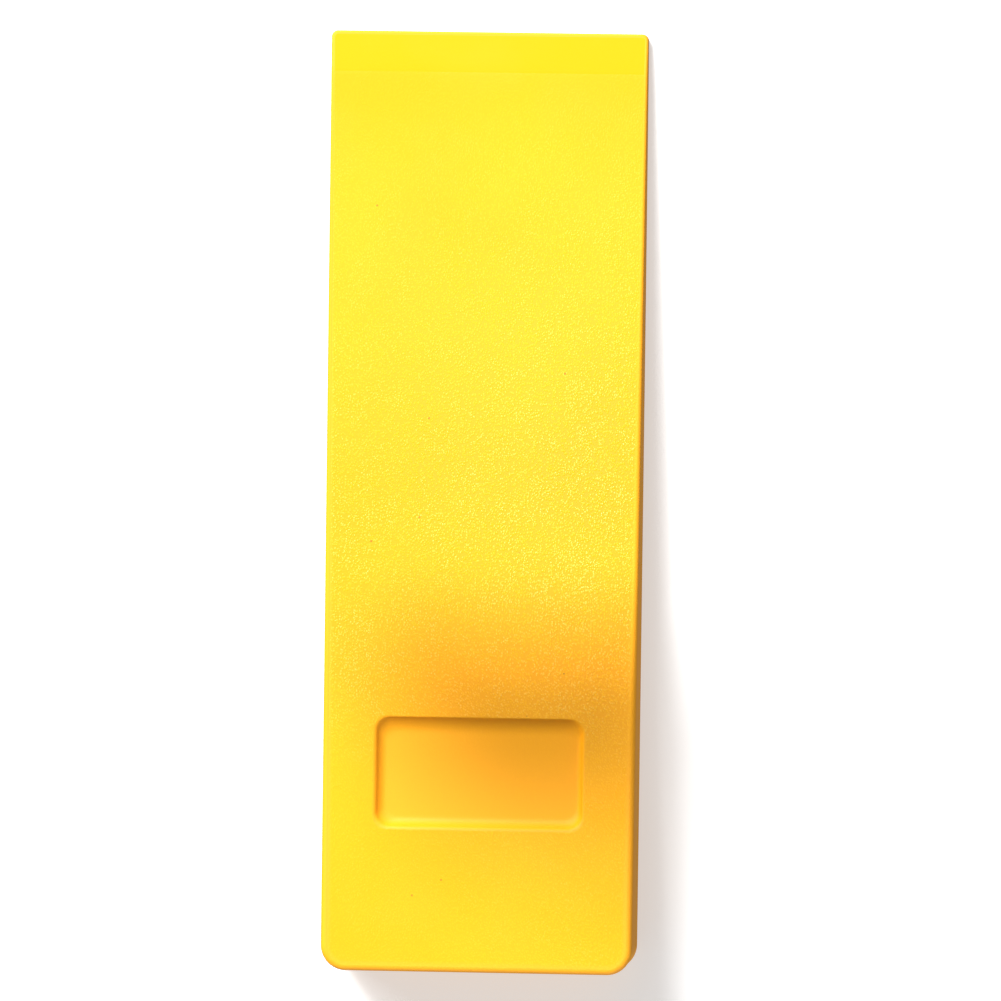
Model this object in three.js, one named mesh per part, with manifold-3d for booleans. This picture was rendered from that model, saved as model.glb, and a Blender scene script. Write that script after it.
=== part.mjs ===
// Felling wedge, nominal 8 inch: one solid injection moulding in tough, bright yellow plastic.
//
// Units are millimetres. The wedge lies on its lower driving face with +Z up. +Y runs from the
// struck head to the thin tip, and X runs across the width. The origin is at the bottom centre
// of the wedge's box.
//
// The body is drawn about its own mid-plane, where the mould parts, and is then turned by half
// of its taper so that the lower driving face comes down onto z = 0.

import * as THREE from 'three';
import { mergeVertices } from 'three/addons/utils/BufferGeometryUtils.js';
import Module from 'manifold-3d';

// Size of the wedge
const LENGTH = 203.2; // head to tip, 8 in
const WIDTH = 68.8; // across the parting line
const HEAD_THICKNESS = 25.4; // lift at the head, 1 in
const SHOULDER_THICKNESS = 4; // where the driving faces end and the tip bevels start
const TIP_THICKNESS = 1.6; // blunt leading edge
const TIP_BEVEL_LENGTH = 8.8;

// Corners and edges
const HEAD_CORNER_RADIUS = 5.5; // in plan
const TIP_CORNER_RADIUS = 1.4; // in plan
const EDGE_FILLET = 1.2; // round between the driving faces and the side walls
const DRAFT = THREE.MathUtils.degToRad(3); // the side walls lean in from the parting line

// Shallow pocket moulded into each driving face, near the head
const POCKET_SIZE_X = 46; // over the chamfered rim
const POCKET_SIZE_Y = 24.6;
const POCKET_FROM_HEAD = 43.2; // head to the pocket's centre
const POCKET_DEPTH = 1.6;
const POCKET_RIM_CHAMFER = 0.5;
const POCKET_CORNER_RADIUS = 3.2; // over the chamfered rim
const POCKET_FLOOR_FILLET = 1;
const CUTTER_RISE = 2; // how far the pocket's cutters stand out of the face

// Facets
const CORNER_SEGMENTS = 8;
const FILLET_SEGMENTS = 4;

const MOULDED_YELLOW = 0xf7b521;
const MOULDED_ROUGHNESS = 0.42;

const wasm = await Module();
wasm.setup();

const halfLength = LENGTH / 2;
const halfHead = HEAD_THICKNESS / 2;
const halfShoulder = SHOULDER_THICKNESS / 2;
const taperPerMm = (halfHead - halfShoulder) / (LENGTH - TIP_BEVEL_LENGTH);
const halfTaper = Math.atan(taperPerMm);

// Distance from the mid-plane to a driving face, at a place along the wedge.
function halfThicknessAt(y) {
  return halfHead - (y + halfLength) * taperPerMm;
}

// A rectangle centred on the origin, whose corners are arcs. Its two ends along Y may have
// corners of different radii.
function roundedRectangle(sizeX, sizeY, lowRadius, highRadius = lowRadius) {
  const x = sizeX / 2;
  const y = sizeY / 2;
  const quarter = Math.PI / 2;
  const shape = new THREE.Shape();
  shape.absarc(x - lowRadius, lowRadius - y, lowRadius, -quarter, 0);
  shape.absarc(x - highRadius, y - highRadius, highRadius, 0, quarter);
  shape.absarc(highRadius - x, y - highRadius, highRadius, quarter, 2 * quarter);
  shape.absarc(lowRadius - x, lowRadius - y, lowRadius, 2 * quarter, 3 * quarter);
  shape.closePath();
  return shape;
}

// A closed three.js geometry as a solid that can be cut and joined.
function toSolid(geometry) {
  const bare = geometry.clone();
  bare.deleteAttribute('normal');
  bare.deleteAttribute('uv');
  const merged = mergeVertices(bare);
  const mesh = new wasm.Mesh({
    numProp: 3,
    vertProperties: new Float32Array(merged.attributes.position.array),
    triVerts: new Uint32Array(merged.index.array),
  });
  return new wasm.Manifold(mesh);
}

// A finished solid as a three.js geometry.
function toGeometry(solid) {
  const { vertProperties, triVerts } = solid.getMesh();
  const geometry = new THREE.BufferGeometry();
  geometry.setAttribute('position', new THREE.BufferAttribute(vertProperties, 3));
  geometry.setIndex(new THREE.BufferAttribute(triVerts, 1));
  geometry.computeVertexNormals();
  return geometry;
}

// The wedge without its tip bevels: the plan outline extruded to a slab with rounded edges,
// whose height is then scaled to the thickness at each place and whose sides lean in with the
// draft. Both maps are linear on each face, so the flat faces stay flat.
function taperedSlab() {
  const plan = roundedRectangle(WIDTH, LENGTH, HEAD_CORNER_RADIUS, TIP_CORNER_RADIUS);
  const filletRise = EDGE_FILLET / halfHead;
  const slab = new THREE.ExtrudeGeometry(plan, {
    depth: 2 * (1 - filletRise),
    steps: 2,
    curveSegments: CORNER_SEGMENTS,
    bevelThickness: filletRise,
    bevelSize: EDGE_FILLET,
    bevelOffset: -EDGE_FILLET,
    bevelSegments: FILLET_SEGMENTS,
  });
  slab.translate(0, 0, filletRise - 1);
  const position = slab.attributes.position;
  const leanPerMm = Math.tan(DRAFT) / (WIDTH / 2);
  for (let i = 0; i < position.count; i += 1) {
    const y = position.getY(i);
    const z = position.getZ(i) * halfThicknessAt(y);
    const x = position.getX(i) * (1 - Math.abs(z) * leanPerMm);
    position.setXYZ(i, x, y, z);
  }
  return slab;
}

// What the tip bevels leave: a side profile, wider than the wedge, that narrows over the last
// stretch to the leading edge.
function tipProfile() {
  const margin = EDGE_FILLET;
  const bevelPerMm = (halfShoulder - TIP_THICKNESS / 2) / TIP_BEVEL_LENGTH;
  const halfBehindHead = halfShoulder + bevelPerMm * (LENGTH - TIP_BEVEL_LENGTH + margin);
  const halfPastTip = TIP_THICKNESS / 2 - bevelPerMm * margin;
  const profile = new THREE.Shape([
    new THREE.Vector2(-halfLength - margin, -halfBehindHead),
    new THREE.Vector2(halfLength + margin, -halfPastTip),
    new THREE.Vector2(halfLength + margin, halfPastTip),
    new THREE.Vector2(-halfLength - margin, halfBehindHead),
  ]);
  const width = WIDTH + 2 * margin;
  const prism = new THREE.ExtrudeGeometry(profile, { depth: width, bevelEnabled: false });
  prism.translate(0, 0, -width / 2);
  // The profile's own axes become +Y and +Z, and its depth runs along X.
  const axes = new THREE.Matrix4().makeBasis(
    new THREE.Vector3(0, 1, 0),
    new THREE.Vector3(0, 0, 1),
    new THREE.Vector3(1, 0, 0),
  );
  return prism.applyMatrix4(axes);
}

// The pocket's hollow, drawn with the driving face at z = 0: a well with a rounded floor edge.
function pocketWell() {
  const mouth = roundedRectangle(
    POCKET_SIZE_X - 2 * POCKET_RIM_CHAMFER,
    POCKET_SIZE_Y - 2 * POCKET_RIM_CHAMFER,
    POCKET_CORNER_RADIUS - POCKET_RIM_CHAMFER,
  );
  const well = new THREE.ExtrudeGeometry(mouth, {
    depth: POCKET_DEPTH - POCKET_FLOOR_FILLET + CUTTER_RISE,
    curveSegments: CORNER_SEGMENTS,
    bevelThickness: POCKET_FLOOR_FILLET,
    bevelSize: POCKET_FLOOR_FILLET,
    bevelOffset: -POCKET_FLOOR_FILLET,
    bevelSegments: FILLET_SEGMENTS,
  });
  return well.translate(0, 0, POCKET_FLOOR_FILLET - POCKET_DEPTH);
}

// The chamfer round the pocket's mouth: it meets the well's wall below the face, and is the
// pocket's full size at the face.
function pocketRim() {
  const mouth = roundedRectangle(POCKET_SIZE_X, POCKET_SIZE_Y, POCKET_CORNER_RADIUS);
  return new THREE.ExtrudeGeometry(mouth, {
    depth: CUTTER_RISE,
    curveSegments: CORNER_SEGMENTS,
    bevelThickness: POCKET_RIM_CHAMFER,
    bevelSize: POCKET_RIM_CHAMFER,
    bevelOffset: -POCKET_RIM_CHAMFER,
    bevelSegments: 1,
  });
}

// A cutter drawn on the plane z = 0, set on the upper driving face at the pocket's place.
function ontoUpperFace(cutter) {
  const y = POCKET_FROM_HEAD * Math.cos(halfTaper) - halfLength;
  return cutter.rotateX(-halfTaper).translate(0, y, halfThicknessAt(y));
}

// The same cutter on the lower driving face: half a turn about the wedge's length.
function ontoLowerFace(cutter) {
  return ontoUpperFace(cutter).rotateY(Math.PI);
}

function wedgeBody() {
  let solid = toSolid(taperedSlab()).intersect(toSolid(tipProfile()));
  for (const ontoFace of [ontoUpperFace, ontoLowerFace]) {
    solid = solid.subtract(toSolid(ontoFace(pocketWell())));
    solid = solid.subtract(toSolid(ontoFace(pocketRim())));
  }
  const material = new THREE.MeshStandardMaterial({
    color: MOULDED_YELLOW,
    roughness: MOULDED_ROUGHNESS,
    metalness: 0,
  });
  const body = new THREE.Mesh(toGeometry(solid), material);
  body.name = 'wedge_body';
  return body;
}

const wedge = new THREE.Group();
wedge.add(wedgeBody());

// The wedge turns down onto its lower driving face, and then moves to stand on the origin.
wedge.rotation.x = -halfTaper;
const box = new THREE.Box3().setFromObject(wedge, true);
const centre = box.getCenter(new THREE.Vector3());
wedge.position.set(-centre.x, -centre.y, -box.min.z);

export default wedge;
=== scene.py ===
"""Felling wedge, nominal 8 inch: the finished look of a one-piece moulding in bright yellow plastic.

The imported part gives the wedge's place and its outer box. The moulding itself is rebuilt here as
one fine mesh, with true fillets, a rounded pocket, a parting line and a gate mark.

The wedge is drawn in millimetres about its own mid-plane: +Y to the thin tip, +X across, +Z
through the thickness. place() then turns it down onto its lower driving face, in metres, where
the part stands.
"""

import math

import bpy
import numpy as np
from mathutils import Matrix, Vector


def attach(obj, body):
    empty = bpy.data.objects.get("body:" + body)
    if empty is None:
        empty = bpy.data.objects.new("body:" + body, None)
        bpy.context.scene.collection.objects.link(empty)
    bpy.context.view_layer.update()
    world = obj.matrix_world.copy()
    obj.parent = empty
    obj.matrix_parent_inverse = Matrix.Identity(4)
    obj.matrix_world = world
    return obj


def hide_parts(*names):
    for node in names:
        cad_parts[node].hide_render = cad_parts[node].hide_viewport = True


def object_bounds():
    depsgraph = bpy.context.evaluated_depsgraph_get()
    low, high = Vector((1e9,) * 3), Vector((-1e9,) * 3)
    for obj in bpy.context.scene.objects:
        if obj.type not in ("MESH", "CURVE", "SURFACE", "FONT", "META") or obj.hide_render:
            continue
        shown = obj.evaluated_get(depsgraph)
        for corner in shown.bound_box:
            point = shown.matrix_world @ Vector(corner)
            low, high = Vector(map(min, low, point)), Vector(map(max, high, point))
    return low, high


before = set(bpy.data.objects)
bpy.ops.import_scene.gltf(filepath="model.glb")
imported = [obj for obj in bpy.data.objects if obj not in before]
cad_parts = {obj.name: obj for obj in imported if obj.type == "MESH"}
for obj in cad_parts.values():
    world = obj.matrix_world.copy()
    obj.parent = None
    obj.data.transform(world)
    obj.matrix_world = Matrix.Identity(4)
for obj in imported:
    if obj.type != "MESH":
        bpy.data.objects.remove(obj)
cad_low, cad_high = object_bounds()

MM = 0.001  # one millimetre in metres

# The wedge, in millimetres
LENGTH = 203.2
WIDTH = 68.8
HALF_HEAD = 12.7  # half of the thickness at the head
HALF_SHOULDER = 2.0  # half of the thickness where the tip bevels start
HALF_TIP = 0.8  # half of the thickness at the leading edge
TIP_BEVEL = 8.8
HEAD_CORNER = 5.5  # corner radii in plan
TIP_CORNER = 1.4
DRAFT = math.radians(3)
HEAD_FILLET = 1.2  # round between a driving face and the wall, at the head
TIP_FILLET = 0.5  # and at the tip
SHOULDER_BLEND = 0.12  # softness of the line where a tip bevel starts
SINK = 0.12  # how far the thick moulding has drawn its faces in
SINK_ENDS = 20.0  # and the length at each end over which that fades out

# The pocket in each driving face, in millimetres
POCKET_HALF_X = 23.0
POCKET_HALF_Y = 12.3
POCKET_FROM_HEAD = 43.2
POCKET_DEPTH = 1.6
POCKET_CORNER = 3.2
POCKET_TIP_ROUNDS = (0.35, 4.4)  # radii at the rim and at the foot of the wall on the tip's side
POCKET_LEFT_ROUNDS = (1.2, 2.4)
POCKET_RIGHT_ROUNDS = (0.7, 1.3)
POCKET_HEAD_ROUNDS = (1.1, 2.3)

# The parting line, a slim bead, and the gate mark on the head, in millimetres
BEAD_RISE = 0.1
BEAD_HALF_WIDTH = 0.35
BEAD_FADE = 4.0  # the bead gets lower where the wall is under this height
GATE_RADIUS = 4.5
GATE_DEPTH = 0.35
GATE_NUB_RADIUS = 1.6
GATE_NUB_RISE = 0.25
GATE_EDGE = 0.9  # width over which the dish and its nub slope

# How strongly each region is grained, from 0 to 1, and how rough its plastic is
HEAD_GRAIN = 0.45
TAIL_GRAIN = 0.42
SHOULDER_GRAIN = 0.25
LEFT_GRAIN = 0.78  # the share of the grain that is left towards the left edge
TIP_GRAIN = 0.08
POCKET_GRAIN = 0.18
WALL_GRAIN = 0.2
FACE_ROUGHNESS = 0.30
TIP_ROUGHNESS = 0.18
POCKET_ROUGHNESS = 0.56
WALL_ROUGHNESS = 0.68
GRAIN_CHANGE = 18.0  # millimetres over which the face's grain fades
EDGE_SHARE = 0.3  # the share of a corner radius over which the face's finish fades into the edge

# Spacing of the mesh lines, in millimetres
COARSE = 1.8
FINE = 0.42
EDGE_ZONE = 0.6
EDGE_STEP = 0.2
SHOULDER_STEP = 0.1
GATE_MARGIN = 1.0  # how far the fine lines go on past the gate mark
BEAD_STEPS = 4  # lines over half of the bead's width
FILLET_STEPS = 7
POCKET_LEVELS = 18  # steps down the pocket's wall
TINY = 1e-9  # a number that is nought but for rounding

HALF_WIDTH = WIDTH / 2 - BEAD_RISE
HALF_LENGTH = LENGTH / 2 - BEAD_RISE
TAPER_PER_MM = (HALF_HEAD - HALF_SHOULDER) / (LENGTH - TIP_BEVEL)
HALF_TAPER = math.atan(TAPER_PER_MM)
POCKET_Y = POCKET_FROM_HEAD * math.cos(HALF_TAPER) - LENGTH / 2

# Colours of the plastic, linear, with painted shade and painted glints among them
BODY_DEEP = (0.94, 0.405, 0.006)
BODY_LIGHT = (0.95, 0.435, 0.008)
# painted shade: a darker colour in the hollows between the pebbles
BODY_VALLEY_SHADE = (0.82, 0.275, 0.008)
# painted shade: a deeper colour where the grain is low, on the tip bevel, the pocket and the walls
BODY_SMOOTH_SHADE = (0.93, 0.385, 0.004)
# painted shade: a deeper colour on the walls and the fillets
BODY_WALL_SHADE = (0.88, 0.37, 0.005)
# painted glints: a paler colour on the tops of some pebbles
BODY_GLINT = (0.97, 0.60, 0.11)
SPECK = (0.12, 0.06, 0.02)

# The plastic's patterns. A scale is in waves, pebbles or specks per millimetre. A range is where
# a pattern's own value starts and stops to count.
NOISE_DETAIL = 2.0
LITTLE_DETAIL = 1.0
MUCH_DETAIL = 3.0
PEBBLE_SCALE = 2.5
PEBBLE_STRETCH = (1.0, 0.75, 1.0)  # under 1 makes them longer along that axis
PEBBLE_RANGE = (0.12, 0.62)  # from a pebble's top to the valley
BEND_SCALE = 1.5
BEND_REACH = (0.25, 0.25, 0.25)  # how far the pebbles are pushed about, in millimetres
CROWDING_SCALE = 0.16
CROWDING_RANGE = (0.36, 0.62)
CROWDING_HEIGHT = (0.65, 1.0)
TOOTH_SCALE = 4.5
TOOTH_HEIGHT = 0.3  # as a share of a pebble's
GRAIN_HEIGHT = 0.048  # of a pebble where the grain is full, in millimetres
DRAW_SCALE = (2.2, 2.2, 0.12)  # across the walls and up them
DRAW_HEIGHT = 0.35  # as a share of a pebble's
ON_WALL_RANGE = (0.60, 0.66)  # the roughness that only the walls have
DRIFT_SCALE = 0.018
DRIFT_RANGE = (0.35, 0.65)
SMOOTH_RANGE = (0.1, 0.45)  # the grain under which the plastic takes its deeper colour, a painted shade on the tip bevel, the pocket and the walls
# where the painted shade between the pebbles lies, and how deep it is
VALLEY_RANGE = (0.0, 0.5)
VALLEY_SHARE = 0.4
# which pebbles get painted glints, and how strongly
GLINT_CHANCE = (0.1, 1.0)
GLINT_STRENGTH = (0.2, 1.0)
GLINT_RANGE = (0.15, 0.95)
GLINT_SHARE = 0.5
SPECK_SCALE = 0.13
SPECK_RANGE = (0.022, 0.04)
SPECK_SHARE = 0.6
SPECK_GRAIN = (0.26, 0.4)  # smoother surfaces have no specks
HANDLED_SCALE = 0.05
HANDLED_RANGE = (0.3, 0.7)
HANDLED_ROUGHNESS = 0.03  # how far handling has changed the roughness, up or down
PLASTIC_IOR = 1.45

# The view, in metres: the camera is far off, a little towards the tip and the right
VIEW_CENTRE = (0.00372, 0.00108, 0.012)
VIEW_DISTANCE = 2.0
VIEW_WIDTH = 0.21645  # what the picture takes in at the wedge
VIEW_TO_TIP = math.radians(7.2)
VIEW_TO_RIGHT = math.radians(3.1)
VIEW_ROLL = math.radians(0.55)
VIEW_NEAREST = 0.05
VIEW_FARTHEST = 60
SENSOR_WIDTH = 36.0  # in millimetres

# The studio, in metres and watts
ROOM_HALF = 8.0
ROOM_HEIGHT = 4.0
ROOM_CORNERS = ((-1, -1), (1, -1), (1, 1), (-1, 1))
ROOM_FACES = ((0, 1, 2, 3), (0, 4, 5, 1), (1, 5, 6, 2), (2, 6, 7, 3), (3, 7, 4, 0))
FLOOR_GAP = 0.00005  # how far the floor is under the wedge
WHITE = (1, 1, 1, 1)
PROP_ROUGHNESS = 0.9
ROOM_COLOUR = (0.70, 0.70, 0.70, 1)
ROOM_GLOW = 0.42  # the floor is a light table, so the shadows on it stay pale
FLAG_COLOUR = (0.02, 0.02, 0.02, 1)
FLAG_CORNERS = (  # across and along the wedge, from the middle of the shade
    (-0.012, -0.0245),
    (0.0305, -0.0215),
    (0.0305, 0.0205),
    (-0.037, 0.0205),
    (-0.037, -0.006),
)
FLAG_SHADOW = (0.017, -0.049, 0.019)  # the middle of the shade on the face
FLAG_AWAY = 0.097  # from there to the flag, towards the key light
FLAG_LEAN = 0.86  # how much further away the flag is for each metre towards the head
WORLD_STRENGTH = 0.335
KEY_SPOT = (-1.08, 2.05, 2.24)
KEY_TARGET = (0, 0, 0.01)
KEY_SIZE = (1.05, 1.30)
KEY_POWER = 184.0
RAKE_SPOT = (-1.82, 2.09, 1.28)
RAKE_TARGET = (0, 0, 0.01)
RAKE_SIZE = (1.75, 1.50)
RAKE_POWER = 81.0
SHEEN_SPOT = (-0.003, 0.050, 0.32)
SHEEN_TARGET = (0.010, 0.020, 0.012)
SHEEN_SIZE = (0.03, 0.03)
SHEEN_POWER = 0.034
HEAD_SPOT = (0.65, -2.1, 0.12)
HEAD_TARGET = (0, -0.10, 0.012)
HEAD_SIZE = (0.80, 0.18)
HEAD_POWER = 21.5


# ---------------------------------------------------------------- the wedge's own surface


def half_thickness(y):
    """Distance from the mid-plane to a driving face, tip bevel included. The face runs into the
    bevel with a small round."""
    main = HALF_HEAD - (y + LENGTH / 2) * TAPER_PER_MM
    to_tip = LENGTH / 2 - y
    bevel = HALF_TIP + to_tip * (HALF_SHOULDER - HALF_TIP) / TIP_BEVEL
    blend = np.maximum(SHOULDER_BLEND - np.abs(main - bevel), 0) / SHOULDER_BLEND
    return np.minimum(main, bevel) - blend**2 * SHOULDER_BLEND / 4


def edge_fillet(y):
    """Radius of the round between the faces and the wall, which shrinks towards the tip."""
    along = np.clip((y + LENGTH / 2) / LENGTH, 0, 1)
    return HEAD_FILLET + (TIP_FILLET - HEAD_FILLET) * along


def corner_radius(y):
    """The head's corner radius at the head, the tip's at the tip, and between them on the way."""
    straight = 2 * HALF_LENGTH - HEAD_CORNER - TIP_CORNER
    along = np.clip((y + HALF_LENGTH - HEAD_CORNER) / straight, 0, 1)
    return HEAD_CORNER + (TIP_CORNER - HEAD_CORNER) * along


def face_height(x, y):
    """Height of a driving face over the mid-plane, drawn in a little where it is thick."""
    across = np.clip(1 - (x / HALF_WIDTH) ** 2, 0, 1)
    thick = half_thickness(y) / HALF_HEAD
    ends = np.clip((HALF_LENGTH - np.abs(y)) / SINK_ENDS, 0, 1)
    return half_thickness(y) - SINK * across**2 * thick * ends


def face_finish(x, y):
    """How strongly a driving face is grained, and how rough it is. The grain is full on the
    right of the middle, and quieter to the left, the head and the tip. The tip bevel is polished."""
    shoulder = LENGTH / 2 - TIP_BEVEL
    places = (POCKET_Y, POCKET_Y + GRAIN_CHANGE, 0, shoulder - GRAIN_CHANGE, shoulder)
    grain = np.interp(y, places, (HEAD_GRAIN, 1, 1, TAIL_GRAIN, SHOULDER_GRAIN))
    grain = grain * np.interp(x, (-HALF_WIDTH / 2, HALF_WIDTH / 2), (LEFT_GRAIN, 1))
    on_tip = np.clip((y - shoulder) / SHOULDER_STEP, 0, 1)
    grain = grain + (TIP_GRAIN - grain) * on_tip
    return grain, FACE_ROUGHNESS + (TIP_ROUGHNESS - FACE_ROUGHNESS) * on_tip


# ---------------------------------------------------------------- plan outlines


def round_corners(x, y, half_x, half_y, radius):
    """Maps a rectangle's points onto the same rectangle with round corners: the square at each
    corner becomes a quarter disc, and the rest stays where it is."""
    a = np.clip((np.abs(x) - (half_x - radius)) / radius, 0, None)
    b = np.clip((np.abs(y) - (half_y - radius)) / radius, 0, None)
    reach = np.maximum(a, b)
    share = np.minimum(a, b) / np.maximum(reach, TINY)
    angle = np.where(a >= b, share, 2 - share) * math.pi / 4
    in_corner = (a > 0) & (b > 0)
    round_x = np.sign(x) * (half_x - radius + radius * reach * np.cos(angle))
    round_y = np.sign(y) * (half_y - radius + radius * reach * np.sin(angle))
    return np.where(in_corner, round_x, x), np.where(in_corner, round_y, y)


def away(x, y, half_x, half_y, radius):
    """How far, in radii, points of a rounded rectangle lie towards its edge, as a vector. On the
    edge it is the outward normal, and a radius or more inside it is nought."""
    away_x = x - np.clip(x, radius - half_x, half_x - radius)
    away_y = y - np.clip(y, radius - half_y, half_y - radius)
    return away_x / radius, away_y / radius


# ---------------------------------------------------------------- mesh lines


def steps(start, end, size):
    """Evenly spaced values from start up to, and not including, end."""
    count = max(1, math.ceil(abs(end - start) / size - TINY))
    return list(np.linspace(start, end, count, endpoint=False))


def column_lines():
    """Places across the width where the mesh has a line, from the left to the right edge."""
    gate = GATE_RADIUS + GATE_MARGIN
    straight = POCKET_HALF_X - POCKET_CORNER
    right = steps(0, gate, FINE)
    right += steps(gate, straight, COARSE)
    right += steps(straight, POCKET_HALF_X, FINE)
    right += steps(POCKET_HALF_X, POCKET_HALF_X + EDGE_ZONE, EDGE_STEP)
    right += steps(POCKET_HALF_X + EDGE_ZONE, HALF_WIDTH - HEAD_CORNER, COARSE)
    right += steps(HALF_WIDTH - HEAD_CORNER, HALF_WIDTH - EDGE_ZONE, FINE)
    right += steps(HALF_WIDTH - EDGE_ZONE, HALF_WIDTH, EDGE_STEP) + [HALF_WIDTH]
    return np.array([-x for x in right[:0:-1]] + right)


def row_lines():
    """Places along the wedge where the mesh has a line, from the head to the tip."""
    low = POCKET_Y - POCKET_HALF_Y
    high = POCKET_Y + POCKET_HALF_Y
    shoulder = LENGTH / 2 - TIP_BEVEL
    rows = steps(-HALF_LENGTH, EDGE_ZONE - HALF_LENGTH, EDGE_STEP)
    rows += steps(EDGE_ZONE - HALF_LENGTH, HEAD_CORNER - HALF_LENGTH, FINE)
    rows += steps(HEAD_CORNER - HALF_LENGTH, low - EDGE_ZONE, COARSE)
    rows += steps(low - EDGE_ZONE, low, EDGE_STEP)
    rows += steps(low, low + POCKET_CORNER, FINE)
    rows += steps(low + POCKET_CORNER, high - POCKET_CORNER, COARSE)
    rows += steps(high - POCKET_CORNER, high, FINE)
    rows += steps(high, high + EDGE_ZONE, EDGE_STEP)
    rows += steps(high + EDGE_ZONE, shoulder - EDGE_ZONE, COARSE)
    rows += steps(shoulder - EDGE_ZONE, shoulder + EDGE_ZONE, SHOULDER_STEP)
    rows += steps(shoulder + EDGE_ZONE, HALF_LENGTH - TIP_CORNER, COARSE)
    rows += steps(HALF_LENGTH - TIP_CORNER, HALF_LENGTH, EDGE_STEP) + [HALF_LENGTH]
    return np.array(rows)


def pocket_inset(depth, rounds):
    """How far in from the rim a wall of the pocket is at a depth. The wall is two rounds that run
    into each other, one at the rim and one at the foot."""
    rim, foot = rounds
    steepest = math.acos(1 - POCKET_DEPTH / (rim + foot))
    if depth < rim * (1 - math.cos(steepest)):
        return math.sqrt(depth * (2 * rim - depth))
    run = (rim + foot) * math.sin(steepest)
    left = POCKET_DEPTH - depth
    return run - math.sqrt(left * (2 * foot - left))


def wall_heights():
    """Heights of the wall's mesh lines at the head, from under the fillet down to the parting
    line. They are close together where the gate mark and the bead are."""
    wall = HALF_HEAD - HEAD_FILLET
    gate = GATE_RADIUS + GATE_MARGIN
    heights = steps(wall, gate, COARSE)
    heights += steps(gate, BEAD_HALF_WIDTH, FINE)
    heights += steps(BEAD_HALF_WIDTH, 0, BEAD_HALF_WIDTH / BEAD_STEPS) + [0]
    return heights[1:]


# ---------------------------------------------------------------- the mesh


class Shell:
    """Vertices, quads, and the grain and roughness at each vertex, gathered piece by piece."""

    def __init__(self):
        self.points = []
        self.grain = []
        self.roughness = []
        self.quads = []

    def add(self, x, y, z, grain, roughness):
        """Adds points given as arrays of one shape, and returns their numbers in that shape."""
        x, y, z, grain, roughness = np.broadcast_arrays(x, y, z, grain, roughness)
        first = len(self.points)
        self.points += zip(x.ravel(), y.ravel(), z.ravel())
        self.grain += list(grain.ravel())
        self.roughness += list(roughness.ravel())
        return np.arange(first, len(self.points)).reshape(x.shape)

    def strip(self, first, second):
        """Joins two closed loops that run anticlockwise seen from above. The quads face out from
        the loops if first is the upper one, and in towards their middle if it is the lower."""
        for i in range(len(first)):
            j = (i + 1) % len(first)
            self.quads.append((first[i], second[i], second[j], first[j]))

    def cells(self, numbers, hole=None):
        """Joins a grid of points with quads that face up, apart from those in the hole."""
        for j in range(numbers.shape[0] - 1):
            for i in range(numbers.shape[1] - 1):
                if hole and hole[0] <= j < hole[1] and hole[2] <= i < hole[3]:
                    continue
                low, high = numbers[j], numbers[j + 1]
                self.quads.append((low[i], low[i + 1], high[i + 1], high[i]))


def rim_of(grid, low_row, high_row, low_column, high_column):
    """The values round a box of a grid, anticlockwise from its low corner."""
    return np.concatenate([
        grid[low_row, low_column:high_column],
        grid[low_row:high_row, high_column],
        grid[high_row, high_column:low_column:-1],
        grid[high_row:low_row:-1, low_column],
    ])


def lean_in(x, z):
    """The draft: the walls lean in as they leave the parting line."""
    return x * (1 - np.abs(z) * math.tan(DRAFT) / HALF_WIDTH)


def add_pocket(shell, x, y, rim):
    """Adds the pocket inside a box of the face's grid, whose rim already has round corners. Each
    level of its walls is the rim's outline again, drawn in on all four sides."""
    whole = (0, x.shape[0] - 1, 0, x.shape[1] - 1)
    x, y = round_corners(x, y - POCKET_Y, POCKET_HALF_X, POCKET_HALF_Y, POCKET_CORNER)

    def level(depth, part):
        at_head = pocket_inset(depth, POCKET_HEAD_ROUNDS)
        at_tip = pocket_inset(depth, POCKET_TIP_ROUNDS)
        at_left = pocket_inset(depth, POCKET_LEFT_ROUNDS)
        at_right = pocket_inset(depth, POCKET_RIGHT_ROUNDS)
        at_x = np.interp(
            part(x),
            (-POCKET_HALF_X, POCKET_HALF_X),
            (at_left - POCKET_HALF_X, POCKET_HALF_X - at_right),
        )
        at_y = np.interp(
            part(y),
            (-POCKET_HALF_Y, POCKET_HALF_Y),
            (at_head - POCKET_HALF_Y, POCKET_HALF_Y - at_tip),
        )
        at_y = at_y + POCKET_Y
        height = face_height(at_x, at_y) - depth * math.cos(HALF_TAPER)
        at_y = at_y - depth * math.sin(HALF_TAPER)
        return shell.add(at_x, at_y, height, POCKET_GRAIN, POCKET_ROUGHNESS)

    turns = np.linspace(0, math.pi, POCKET_LEVELS + 1)
    upper = rim
    for turn in turns[1:-1]:
        depth = POCKET_DEPTH * (1 - math.cos(turn)) / 2
        lower = level(depth, lambda values: rim_of(values, *whole))
        shell.strip(lower, upper)
        upper = lower
    floor = level(POCKET_DEPTH, lambda values: values)
    shell.strip(rim_of(floor, *whole), upper)
    shell.cells(floor)


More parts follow.
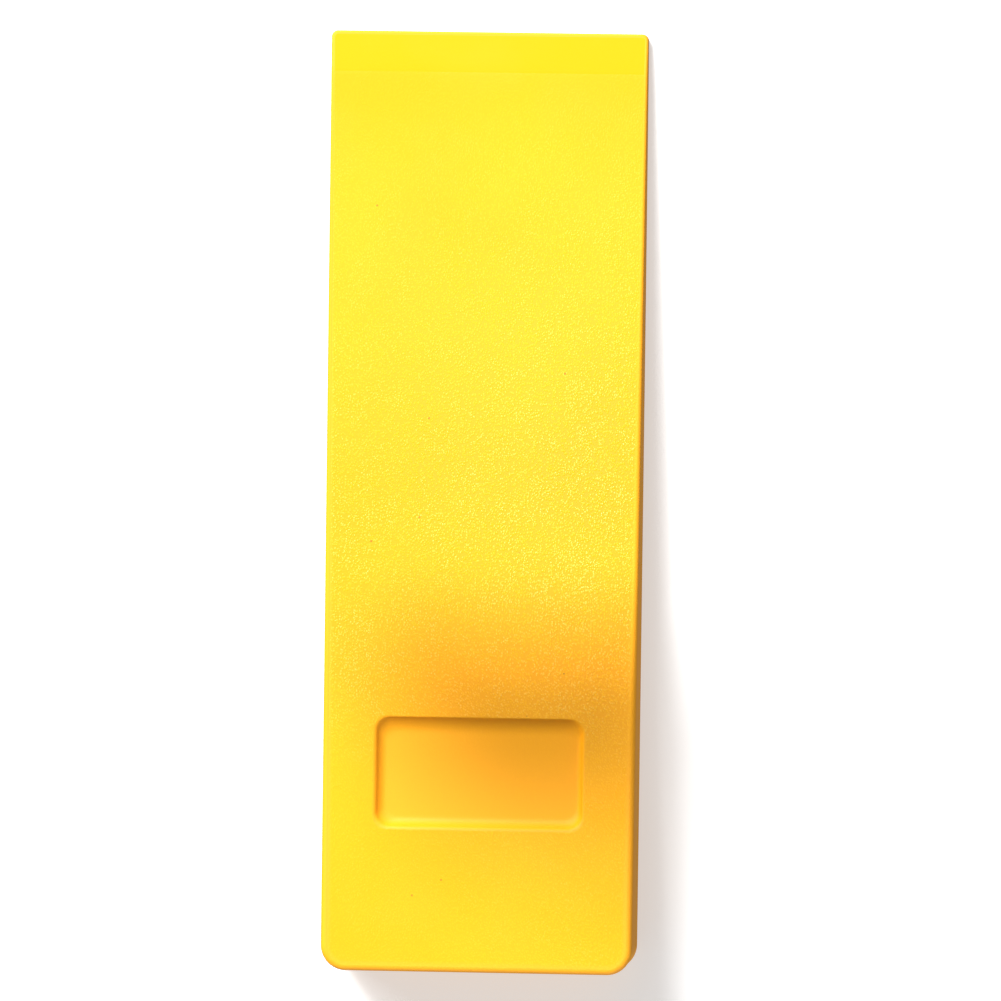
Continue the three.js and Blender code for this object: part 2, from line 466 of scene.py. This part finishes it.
def add_face(shell):
    """Adds the upper driving face with its pocket. Returns its outer loop: the points' numbers,
    the outline in plan, the outward normals, the fillet's radius and the face's height."""
    columns, rows = column_lines(), row_lines()
    x, y = np.meshgrid(columns, rows)
    radius = corner_radius(y)
    x, y = round_corners(x, y, HALF_WIDTH, HALF_LENGTH, radius)
    toward_x, toward_y = away(x, y, HALF_WIDTH, HALF_LENGTH, radius)
    fillet = edge_fillet(y)
    face_x = x - toward_x * fillet
    face_y = y - toward_y * fillet
    height = face_height(face_x, face_y)
    near_edge = np.hypot(toward_x, toward_y)
    face_x = face_x + near_edge * (lean_in(face_x, height) - face_x)

    def line(values, place):
        return int(np.argmin(np.abs(values - place)))

    hole = (
        line(rows, POCKET_Y - POCKET_HALF_Y),
        line(rows, POCKET_Y + POCKET_HALF_Y),
        line(columns, -POCKET_HALF_X),
        line(columns, POCKET_HALF_X),
    )
    index = np.arange(x.size).reshape(x.shape)
    rim_index = rim_of(index, *hole)
    pocket_x, pocket_y = np.meshgrid(columns[hole[2] : hole[3] + 1], rows[hole[0] : hole[1] + 1])
    rim_x, rim_y = round_corners(
        face_x.flat[rim_index],
        face_y.flat[rim_index] - POCKET_Y,
        POCKET_HALF_X,
        POCKET_HALF_Y,
        POCKET_CORNER,
    )
    face_x.flat[rim_index] = rim_x
    face_y.flat[rim_index] = rim_y + POCKET_Y
    height = face_height(face_x, face_y)

    edge_share = np.clip((near_edge - 1) / EDGE_SHARE + 1, 0, 1)
    grain, roughness = face_finish(face_x, face_y)
    grain = grain + (WALL_GRAIN - grain) * edge_share
    roughness = roughness + (WALL_ROUGHNESS - roughness) * edge_share
    used = np.ones(x.shape, bool)
    used[hole[0] + 1 : hole[1], hole[2] + 1 : hole[3]] = False
    numbers = np.full(x.shape, -1)
    numbers[used] = shell.add(
        face_x[used], face_y[used], height[used], grain[used], roughness[used]
    )
    shell.cells(numbers, hole)
    add_pocket(shell, pocket_x, pocket_y, rim_of(numbers, *hole))

    whole = (0, len(rows) - 1, 0, len(columns) - 1)
    return {
        "numbers": rim_of(numbers, *whole),
        "x": rim_of(x, *whole),
        "y": rim_of(y, *whole),
        "normal_x": rim_of(toward_x, *whole),
        "normal_y": rim_of(toward_y, *whole),
        "fillet": rim_of(fillet, *whole),
        "height": half_thickness(rim_of(face_y, *whole)),
    }


def smooth(share):
    """A share from 0 to 1, eased at both ends."""
    return share * share * (3 - 2 * share)


def gate_depth(x, z):
    """Depth of the gate mark in the strike face: a shallow round dish with a nub inside it."""
    distance = np.hypot(x, z)
    dish = np.clip((GATE_RADIUS - distance) / GATE_EDGE, 0, 1)
    nub = np.clip((GATE_NUB_RADIUS - distance) / GATE_EDGE, 0, 1)
    return smooth(dish) * GATE_DEPTH - smooth(nub) * GATE_NUB_RISE


def add_walls(shell, loop):
    """Adds the fillet and the wall under a face's outer loop, down to the parting line. Returns
    the numbers of the parting line's points."""
    x, y, fillet = loop["x"], loop["y"], loop["fillet"]
    normal_x, normal_y = loop["normal_x"], loop["normal_y"]
    straight = loop["height"] - fillet
    upper = loop["numbers"]
    for angle in np.linspace(0, math.pi / 2, FILLET_STEPS + 1)[1:]:
        inset = fillet * (1 - math.sin(angle))
        z = straight + fillet * math.cos(angle)
        in_x = lean_in(x - normal_x * inset, z)
        lower = shell.add(in_x, y - normal_y * inset, z, WALL_GRAIN, WALL_ROUGHNESS)
        shell.strip(upper, lower)
        upper = lower
    on_strike_face = normal_y < TINY - 1
    in_gate = on_strike_face & (np.abs(x) < GATE_RADIUS)
    bead_rise = np.where(in_gate, 0, BEAD_RISE * np.clip(straight / BEAD_FADE, 0, 1))
    for height in wall_heights():
        z = straight * height / (HALF_HEAD - HEAD_FILLET)
        rise = bead_rise * smooth(max(0, 1 - height / BEAD_HALF_WIDTH))
        dent = np.where(on_strike_face, gate_depth(x, z), 0)
        out_x = lean_in(x + normal_x * rise, z)
        lower = shell.add(out_x, y + normal_y * rise + dent, z, WALL_GRAIN, WALL_ROUGHNESS)
        shell.strip(upper, lower)
        upper = lower
    return upper


def moulding_mesh():
    """The whole moulding: the upper half, and the same half turned over below the parting line."""
    shell = Shell()
    parting = add_walls(shell, add_face(shell))
    points = np.array(shell.points)
    quads = np.array(shell.quads)
    below = np.arange(len(points), 2 * len(points))
    below[parting] = parting
    mirrored = points * (1, 1, -1)
    both_points = np.concatenate([points, mirrored])
    both_quads = np.concatenate([quads, below[quads][:, ::-1]])

    kept = np.unique(both_quads)
    renumbered = np.full(len(both_points), -1)
    renumbered[kept] = np.arange(len(kept))
    mesh = bpy.data.meshes.new("wedge_moulding")
    mesh.from_pydata(both_points[kept].tolist(), [], renumbered[both_quads].tolist())
    for name, values in (("grain", shell.grain), ("roughness", shell.roughness)):
        attribute = mesh.attributes.new(name, "FLOAT", "POINT")
        attribute.data.foreach_set("value", np.tile(values, 2)[kept].astype(np.float32))
    mesh.shade_smooth()
    return mesh


def place():
    """From the wedge's own frame, in millimetres about its mid-plane, to the part's frame."""
    turn = Matrix.Rotation(-HALF_TAPER, 4, "X")
    sole = turn @ Vector((0, -LENGTH / 2, -HALF_HEAD))
    leading_edge = turn @ Vector((0, LENGTH / 2, HALF_TIP))
    shift = Vector((0, cad_high.y / MM - leading_edge.y, cad_low.z / MM - sole.z))
    return Matrix.Scale(MM, 4) @ Matrix.Translation(shift) @ turn


# ---------------------------------------------------------------- the material


def node(tree, kind, inputs=None, **settings):
    """Adds a shader node. An input is a value, or another node's output to link."""
    made = tree.nodes.new("ShaderNode" + kind)
    for name, value in settings.items():
        setattr(made, name, value)
    for name, value in (inputs or {}).items():
        if isinstance(value, bpy.types.NodeSocket):
            tree.links.new(value, made.inputs[name])
        else:
            made.inputs[name].default_value = value
    return made


def vector_node(tree, operation, **inputs):
    """The result of a vector operation on a, b and c, or on a and scale."""
    names = {"a": 0, "b": 1, "c": 2, "scale": "Scale"}
    sockets = {names[name]: value for name, value in inputs.items()}
    return node(tree, "VectorMath", sockets, operation=operation).outputs[0]


def product(tree, a, b):
    return node(tree, "Math", {0: a, 1: b}, operation="MULTIPLY").outputs[0]


def total(tree, a, b):
    return node(tree, "Math", {0: a, 1: b}, operation="ADD").outputs[0]


def ramp(tree, value, start_stop, to):
    """The value, over the range from start to stop, eased onto the two values in to."""
    inputs = {
        "Value": value,
        "From Min": start_stop[0],
        "From Max": start_stop[1],
        "To Min": to[0],
        "To Max": to[1],
    }
    return node(tree, "MapRange", inputs, interpolation_type="SMOOTHSTEP").outputs[0]


def noise(tree, where, scale, detail=NOISE_DETAIL):
    """Noise from 0 to 1, with scale in waves per millimetre."""
    return node(tree, "TexNoise", {"Vector": where, "Scale": scale, "Detail": detail})


def mixed(tree, share, a, b):
    """The colour from a to b at a share that may be a socket."""
    made = node(tree, "Mix", {"Factor": share}, data_type="RGBA")
    for name, value in (("A", a), ("B", b)):
        socket = next(s for s in made.inputs if s.name == name and s.type == "RGBA")
        if isinstance(value, bpy.types.NodeSocket):
            tree.links.new(value, socket)
        else:
            socket.default_value = (*value, 1)
    return next(s for s in made.outputs if s.type == "RGBA")


def pebble_grain(tree, where):
    """Pebbles about half a millimetre across, crowded unevenly, with a finer tooth between them.
    Returns each pebble's own shape, a number by chance for each pebble, and the whole relief."""
    push = noise(tree, where, BEND_SCALE, LITTLE_DETAIL).outputs["Color"]
    bent = vector_node(tree, "MULTIPLY_ADD", a=push, b=BEND_REACH, c=where)
    stretched = vector_node(tree, "MULTIPLY", a=bent, b=PEBBLE_STRETCH)
    cells = node(tree, "TexVoronoi", {"Vector": stretched, "Scale": PEBBLE_SCALE})
    pebble = ramp(tree, cells.outputs["Distance"], PEBBLE_RANGE, (1.0, 0.0))
    chance = node(tree, "SeparateColor", {0: cells.outputs["Color"]}).outputs[0]
    patches = noise(tree, where, CROWDING_SCALE).outputs["Fac"]
    crowding = ramp(tree, patches, CROWDING_RANGE, CROWDING_HEIGHT)
    tooth = noise(tree, where, TOOTH_SCALE, MUCH_DETAIL).outputs["Fac"]
    relief = total(tree, product(tree, tooth, TOOTH_HEIGHT), product(tree, pebble, crowding))
    return pebble, chance, relief


def draw_marks(tree, where, on_wall):
    """Faint marks on the walls, along the way that they were drawn from the mould."""
    drawn = vector_node(tree, "MULTIPLY", a=where, b=DRAW_SCALE)
    marks = noise(tree, drawn, 1.0, MUCH_DETAIL).outputs["Fac"]
    return product(tree, marks, product(tree, on_wall, DRAW_HEIGHT))


def body_colour(tree, where, grain, on_wall, pebble, glint_mask):
    """The colour drifts a little over the moulding. Painted shade makes it deeper on the walls,
    on the smooth tip bevel and pocket, and between the pebbles. Painted glints make the tops of
    some pebbles paler, and it has a few dark specks."""
    drift = ramp(tree, noise(tree, where, DRIFT_SCALE).outputs["Fac"], DRIFT_RANGE, (0.0, 1.0))
    colour = mixed(tree, drift, BODY_DEEP, BODY_LIGHT)
    # painted shade where the grain is low
    colour = mixed(tree, ramp(tree, grain, SMOOTH_RANGE, (1.0, 0.0)), colour, BODY_SMOOTH_SHADE)
    # painted shade on the walls and the fillets
    colour = mixed(tree, on_wall, colour, BODY_WALL_SHADE)
    # painted shade between the pebbles
    valley = ramp(tree, pebble, VALLEY_RANGE, (VALLEY_SHARE, 0.0))
    colour = mixed(tree, product(tree, valley, grain), colour, BODY_VALLEY_SHADE)
    # painted glints on the tops of some pebbles
    glint_share = ramp(tree, glint_mask, GLINT_RANGE, (0.0, GLINT_SHARE))
    colour = mixed(tree, glint_share, colour, BODY_GLINT)
    specks = node(tree, "TexVoronoi", {"Vector": where, "Scale": SPECK_SCALE})
    speck = ramp(tree, specks.outputs["Distance"], SPECK_RANGE, (SPECK_SHARE, 0.0))
    grained = ramp(tree, grain, SPECK_GRAIN, (0.0, 1.0))
    return mixed(tree, product(tree, speck, grained), colour, SPECK)


def moulded_plastic():
    """Bright yellow impact-grade plastic with a moulded pebble grain."""
    material = bpy.data.materials.new("moulded_plastic")
    material.use_nodes = True
    tree = material.node_tree
    shader = tree.nodes["Principled BSDF"]
    grain = node(tree, "Attribute", attribute_name="grain").outputs["Fac"]
    roughness = node(tree, "Attribute", attribute_name="roughness").outputs["Fac"]
    on_wall = ramp(tree, roughness, ON_WALL_RANGE, (0.0, 1.0))
    coordinates = node(tree, "TexCoord").outputs["Object"]
    where = vector_node(tree, "SCALE", a=coordinates, scale=1 / MM)

    pebble, chance, relief = pebble_grain(tree, where)
    height = product(tree, relief, grain)
    surface = total(tree, height, draw_marks(tree, where, on_wall))
    bump = node(tree, "Bump", {"Strength": 1.0, "Distance": GRAIN_HEIGHT * MM, "Height": surface})
    tree.links.new(bump.outputs[0], shader.inputs["Normal"])

    # painted glints: the pebble tops that get a paler colour
    glint_mask = product(tree, height, ramp(tree, chance, GLINT_CHANCE, GLINT_STRENGTH))
    colour = body_colour(tree, where, grain, on_wall, pebble, glint_mask)
    tree.links.new(colour, shader.inputs["Base Color"])

    wear = noise(tree, where, HANDLED_SCALE, MUCH_DETAIL).outputs["Fac"]
    handled = ramp(tree, wear, HANDLED_RANGE, (-HANDLED_ROUGHNESS, HANDLED_ROUGHNESS))
    tree.links.new(total(tree, roughness, handled), shader.inputs["Roughness"])
    shader.inputs["IOR"].default_value = PLASTIC_IOR
    return material


# ---------------------------------------------------------------- the studio


def add_camera():
    """The camera, which looks nearly square at the upper driving face."""
    data = bpy.data.cameras.new("camera")
    camera = bpy.data.objects.new("camera", data)
    bpy.context.scene.collection.objects.link(camera)
    target = Vector(VIEW_CENTRE)
    back = Vector((math.tan(VIEW_TO_RIGHT), math.tan(VIEW_TO_TIP), 1)).normalized()
    spot = target + back * VIEW_DISTANCE
    right = Vector((0, 1, 0)).cross(back).normalized()
    up = back.cross(right)
    turn = Matrix((right, up, back)).transposed().to_4x4()
    camera.matrix_world = Matrix.Translation(spot) @ turn @ Matrix.Rotation(VIEW_ROLL, 4, "Z")
    data.sensor_width = SENSOR_WIDTH
    data.lens = SENSOR_WIDTH * VIEW_DISTANCE / VIEW_WIDTH
    data.clip_start = VIEW_NEAREST
    data.clip_end = VIEW_FARTHEST
    bpy.context.scene.camera = camera


def add_light(name, spot, target, size, power):
    """Adds a rectangular light that looks at its target and that the camera doesn't see."""
    data = bpy.data.lights.new(name, "AREA")
    data.shape = "RECTANGLE"
    data.size, data.size_y = size
    data.energy = power
    light = bpy.data.objects.new(name, data)
    direction = (Vector(target) - Vector(spot)).normalized()
    turn = direction.to_track_quat("-Z", "Y").to_matrix().to_4x4()
    light.matrix_world = Matrix.Translation(spot) @ turn
    light.visible_camera = False
    bpy.context.scene.collection.objects.link(light)
    return light


def add_prop(name, points, faces, colour, glow=0.0):
    """Adds matt sheets, which aren't part of the wedge and don't light it."""
    mesh = bpy.data.meshes.new(name)
    mesh.from_pydata(points, [], faces)
    material = bpy.data.materials.new(name)
    material.use_nodes = True
    shader = material.node_tree.nodes["Principled BSDF"]
    shader.inputs["Base Color"].default_value = colour
    shader.inputs["Roughness"].default_value = PROP_ROUGHNESS
    shader.inputs["Emission Color"].default_value = WHITE
    shader.inputs["Emission Strength"].default_value = glow
    mesh.materials.append(material)
    prop = bpy.data.objects.new(name, mesh)
    bpy.context.scene.collection.objects.link(prop)
    prop.visible_diffuse = False
    prop.visible_glossy = False
    return prop


def add_room():
    """A pale floor, with pale walls far off."""
    floor = [(x * ROOM_HALF, y * ROOM_HALF, -FLOOR_GAP) for x, y in ROOM_CORNERS]
    tops = [(x, y, ROOM_HEIGHT) for x, y, _ in floor]
    add_prop("room", floor + tops, ROOM_FACES, ROOM_COLOUR, ROOM_GLOW)


def add_flag():
    """A dark sheet that hides the key light from the face round the pocket. It is further from
    the face towards the head, which makes its shadow softer there."""
    shaded = Vector(FLAG_SHADOW)
    toward_key = (Vector(KEY_SPOT) - shaded).normalized()
    points = [
        shaded + Vector((x, y, 0)) + toward_key * (FLAG_AWAY - FLAG_LEAN * y)
        for x, y in FLAG_CORNERS
    ]
    flag = add_prop("flag", points, [range(len(points))], FLAG_COLOUR)
    flag.visible_camera = False


def set_studio(moulding):
    """A pale room, a soft key light from beyond the tip, and a flag that shades the face round
    its pocket. A low light rakes along the wedge without glare, and another lights the head end
    only. A small one over the middle, which the flag doesn't shade, brings out the grain."""
    add_room()
    add_flag()
    add_light("key", KEY_SPOT, KEY_TARGET, KEY_SIZE, KEY_POWER)
    rake = add_light("rake", RAKE_SPOT, RAKE_TARGET, RAKE_SIZE, RAKE_POWER)
    rake.visible_glossy = False
    add_light("head", HEAD_SPOT, HEAD_TARGET, HEAD_SIZE, HEAD_POWER)
    sheen = add_light("sheen", SHEEN_SPOT, SHEEN_TARGET, SHEEN_SIZE, SHEEN_POWER)
    unflagged = bpy.data.collections.new("unflagged")
    unflagged.objects.link(moulding)
    sheen.light_linking.blocker_collection = unflagged

    world = bpy.data.worlds.new("studio")
    bpy.context.scene.world = world
    world.use_nodes = True
    background = world.node_tree.nodes["Background"]
    background.inputs["Color"].default_value = WHITE
    background.inputs["Strength"].default_value = WORLD_STRENGTH
    settings = bpy.context.scene.view_settings
    settings.view_transform = "Standard"
    settings.look = "None"
    settings.exposure = 0
    settings.gamma = 1


def main():
    moulding = bpy.data.objects.new("wedge_moulding", moulding_mesh())
    moulding.data.transform(place())
    moulding.data.materials.append(moulded_plastic())
    bpy.context.scene.collection.objects.link(moulding)
    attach(moulding, "root")
    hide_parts("wedge_body")
    set_studio(moulding)
    add_camera()


main()
